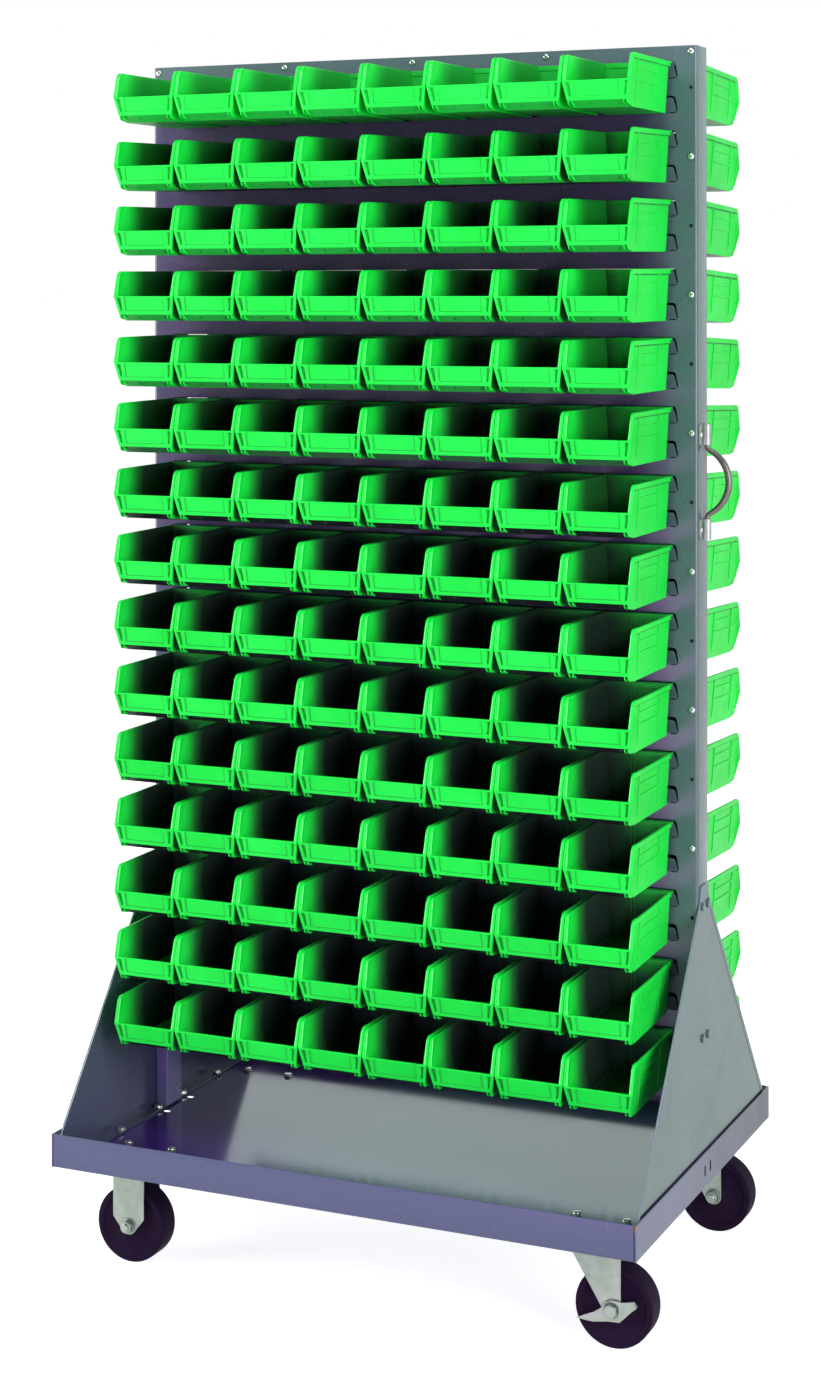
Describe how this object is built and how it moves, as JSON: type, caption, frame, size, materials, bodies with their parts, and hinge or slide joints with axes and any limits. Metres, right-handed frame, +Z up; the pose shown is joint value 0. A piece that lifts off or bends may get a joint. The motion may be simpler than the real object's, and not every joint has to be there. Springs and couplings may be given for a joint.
{
  "type": "louvered bin rack",
  "caption": "Mobile double-sided rack: louvered steel panels carry rows of small hopper bins above a lipped tray on casters, with a pull handle at one end.",
  "frame": {"origin": "on the floor, midway along the overall length with the handle bail standing out, and midway between front and back", "axes": "+X towards the end with the handle and the swivel casters, -Y towards the side the picture shows, +Z up"},
  "size_m": [0.966, 0.648, 1.8309],
  "materials": {
    "grey_paint": "semi-gloss powder coat",
    "zinc_plate": "zinc plate",
    "dark_steel": "worn plate",
    "dark_wheel": "moulded phenolic",
    "green_bin": "moulded polypropylene"
  },
  "bodies": {
    "rack": {"base_tray": "grey_paint", "left_end_panel": "grey_paint", "right_end_panel": "grey_paint", "left_upright": "grey_paint", "right_upright": "grey_paint", "top_rail": "grey_paint", "front_louver_panel": "grey_paint", "rear_louver_panel": "grey_paint", "panel_screws": "zinc_plate", "end_panel_bolts": "grey_paint", "flange_bolts": "zinc_plate", "caster_bolts": "zinc_plate", "handle_upper_bracket": "zinc_plate", "handle_lower_bracket": "zinc_plate", "handle_screws": "zinc_plate", "front_left_fork": "zinc_plate", "front_left_axle": "zinc_plate", "rear_left_fork": "zinc_plate", "rear_left_axle": "zinc_plate", "front_right_plate": "zinc_plate", "front_right_kingpin": "zinc_plate", "rear_right_plate": "zinc_plate", "rear_right_kingpin": "zinc_plate", "front_bins_1": "green_bin", "front_bins_2": "green_bin", "front_bins_3": "green_bin", "front_bins_4": "green_bin", "front_bins_5": "green_bin", "front_bins_6": "green_bin", "front_bins_7": "green_bin", "front_bins_8": "green_bin", "rear_bins_1": "green_bin", "rear_bins_2": "green_bin", "rear_bins_3": "green_bin", "rear_bins_4": "green_bin", "rear_bins_5": "green_bin", "rear_bins_6": "green_bin", "rear_bins_7": "green_bin", "rear_bins_8": "green_bin"},
    "bail": {"handle_bail": "dark_steel"},
    "front_left_wheel": {"front_left_wheel": "dark_wheel"},
    "front_right_swivel": {"front_right_fork": "zinc_plate", "front_right_axle": "zinc_plate"},
    "front_right_wheel": {"front_right_wheel": "dark_wheel"},
    "front_right_brake": {"front_right_brake": "zinc_plate"},
    "rear_left_wheel": {"rear_left_wheel": "dark_wheel"},
    "rear_right_swivel": {"rear_right_fork": "zinc_plate", "rear_right_axle": "zinc_plate"},
    "rear_right_wheel": {"rear_right_wheel": "dark_wheel"},
    "rear_right_brake": {"rear_right_brake": "zinc_plate"},
    "top_bin_1": {"top_bin_1": "green_bin"},
    "top_bin_2": {"top_bin_2": "green_bin"},
    "top_bin_3": {"top_bin_3": "green_bin"},
    "top_bin_4": {"top_bin_4": "green_bin"},
    "top_bin_5": {"top_bin_5": "green_bin"},
    "top_bin_6": {"top_bin_6": "green_bin"},
    "top_bin_7": {"top_bin_7": "green_bin"},
    "top_bin_8": {"top_bin_8": "green_bin"}
  },
  "joints": [
    {"name": "handle_swing", "type": "hinge", "parent": "rack", "child": "bail", "pos_m": [0.4447, 0, 1.1885], "axis": [0, 0, 1], "range_deg": [-80, 80]},
    {"name": "front_left_roll", "type": "hinge", "parent": "rack", "child": "front_left_wheel", "pos_m": [-0.3877, -0.235, 0.05715], "axis": [0, 1, 0], "continuous": true},
    {"name": "front_right_swivel", "type": "hinge", "parent": "rack", "child": "front_right_swivel", "pos_m": [0.3487, -0.235, 0.14], "axis": [0, 0, 1], "continuous": true},
    {"name": "front_right_roll", "type": "hinge", "parent": "front_right_swivel", "child": "front_right_wheel", "pos_m": [0.3867, -0.235, 0.05715], "axis": [0, 1, 0], "continuous": true},
    {"name": "front_right_brake_turn", "type": "hinge", "parent": "front_right_swivel", "child": "front_right_brake", "pos_m": [0.3867, -0.235, 0.05715], "axis": [0, 1, 0], "range_deg": [0, 40]},
    {"name": "rear_left_roll", "type": "hinge", "parent": "rack", "child": "rear_left_wheel", "pos_m": [-0.3877, 0.235, 0.05715], "axis": [0, 1, 0], "continuous": true},
    {"name": "rear_right_swivel", "type": "hinge", "parent": "rack", "child": "rear_right_swivel", "pos_m": [0.3487, 0.235, 0.14], "axis": [0, 0, 1], "continuous": true},
    {"name": "rear_right_roll", "type": "hinge", "parent": "rear_right_swivel", "child": "rear_right_wheel", "pos_m": [0.3867, 0.235, 0.05715], "axis": [0, 1, 0], "continuous": true},
    {"name": "rear_right_brake_turn", "type": "hinge", "parent": "rear_right_swivel", "child": "rear_right_brake", "pos_m": [0.3867, 0.235, 0.05715], "axis": [0, 1, 0], "range_deg": [0, 40]},
    {"name": "top_bin_1_lift", "type": "slide", "parent": "rack", "child": "top_bin_1", "axis": [0, 0, 1], "range_m": [0, 0.035]},
    {"name": "top_bin_2_lift", "type": "slide", "parent": "rack", "child": "top_bin_2", "axis": [0, 0, 1], "range_m": [0, 0.035]},
    {"name": "top_bin_3_lift", "type": "slide", "parent": "rack", "child": "top_bin_3", "axis": [0, 0, 1], "range_m": [0, 0.035]},
    {"name": "top_bin_4_lift", "type": "slide", "parent": "rack", "child": "top_bin_4", "axis": [0, 0, 1], "range_m": [0, 0.035]},
    {"name": "top_bin_5_lift", "type": "slide", "parent": "rack", "child": "top_bin_5", "axis": [0, 0, 1], "range_m": [0, 0.035]},
    {"name": "top_bin_6_lift", "type": "slide", "parent": "rack", "child": "top_bin_6", "axis": [0, 0, 1], "range_m": [0, 0.035]},
    {"name": "top_bin_7_lift", "type": "slide", "parent": "rack", "child": "top_bin_7", "axis": [0, 0, 1], "range_m": [0, 0.035]},
    {"name": "top_bin_8_lift", "type": "slide", "parent": "rack", "child": "top_bin_8", "axis": [0, 0, 1], "range_m": [0, 0.035]}
  ]
}
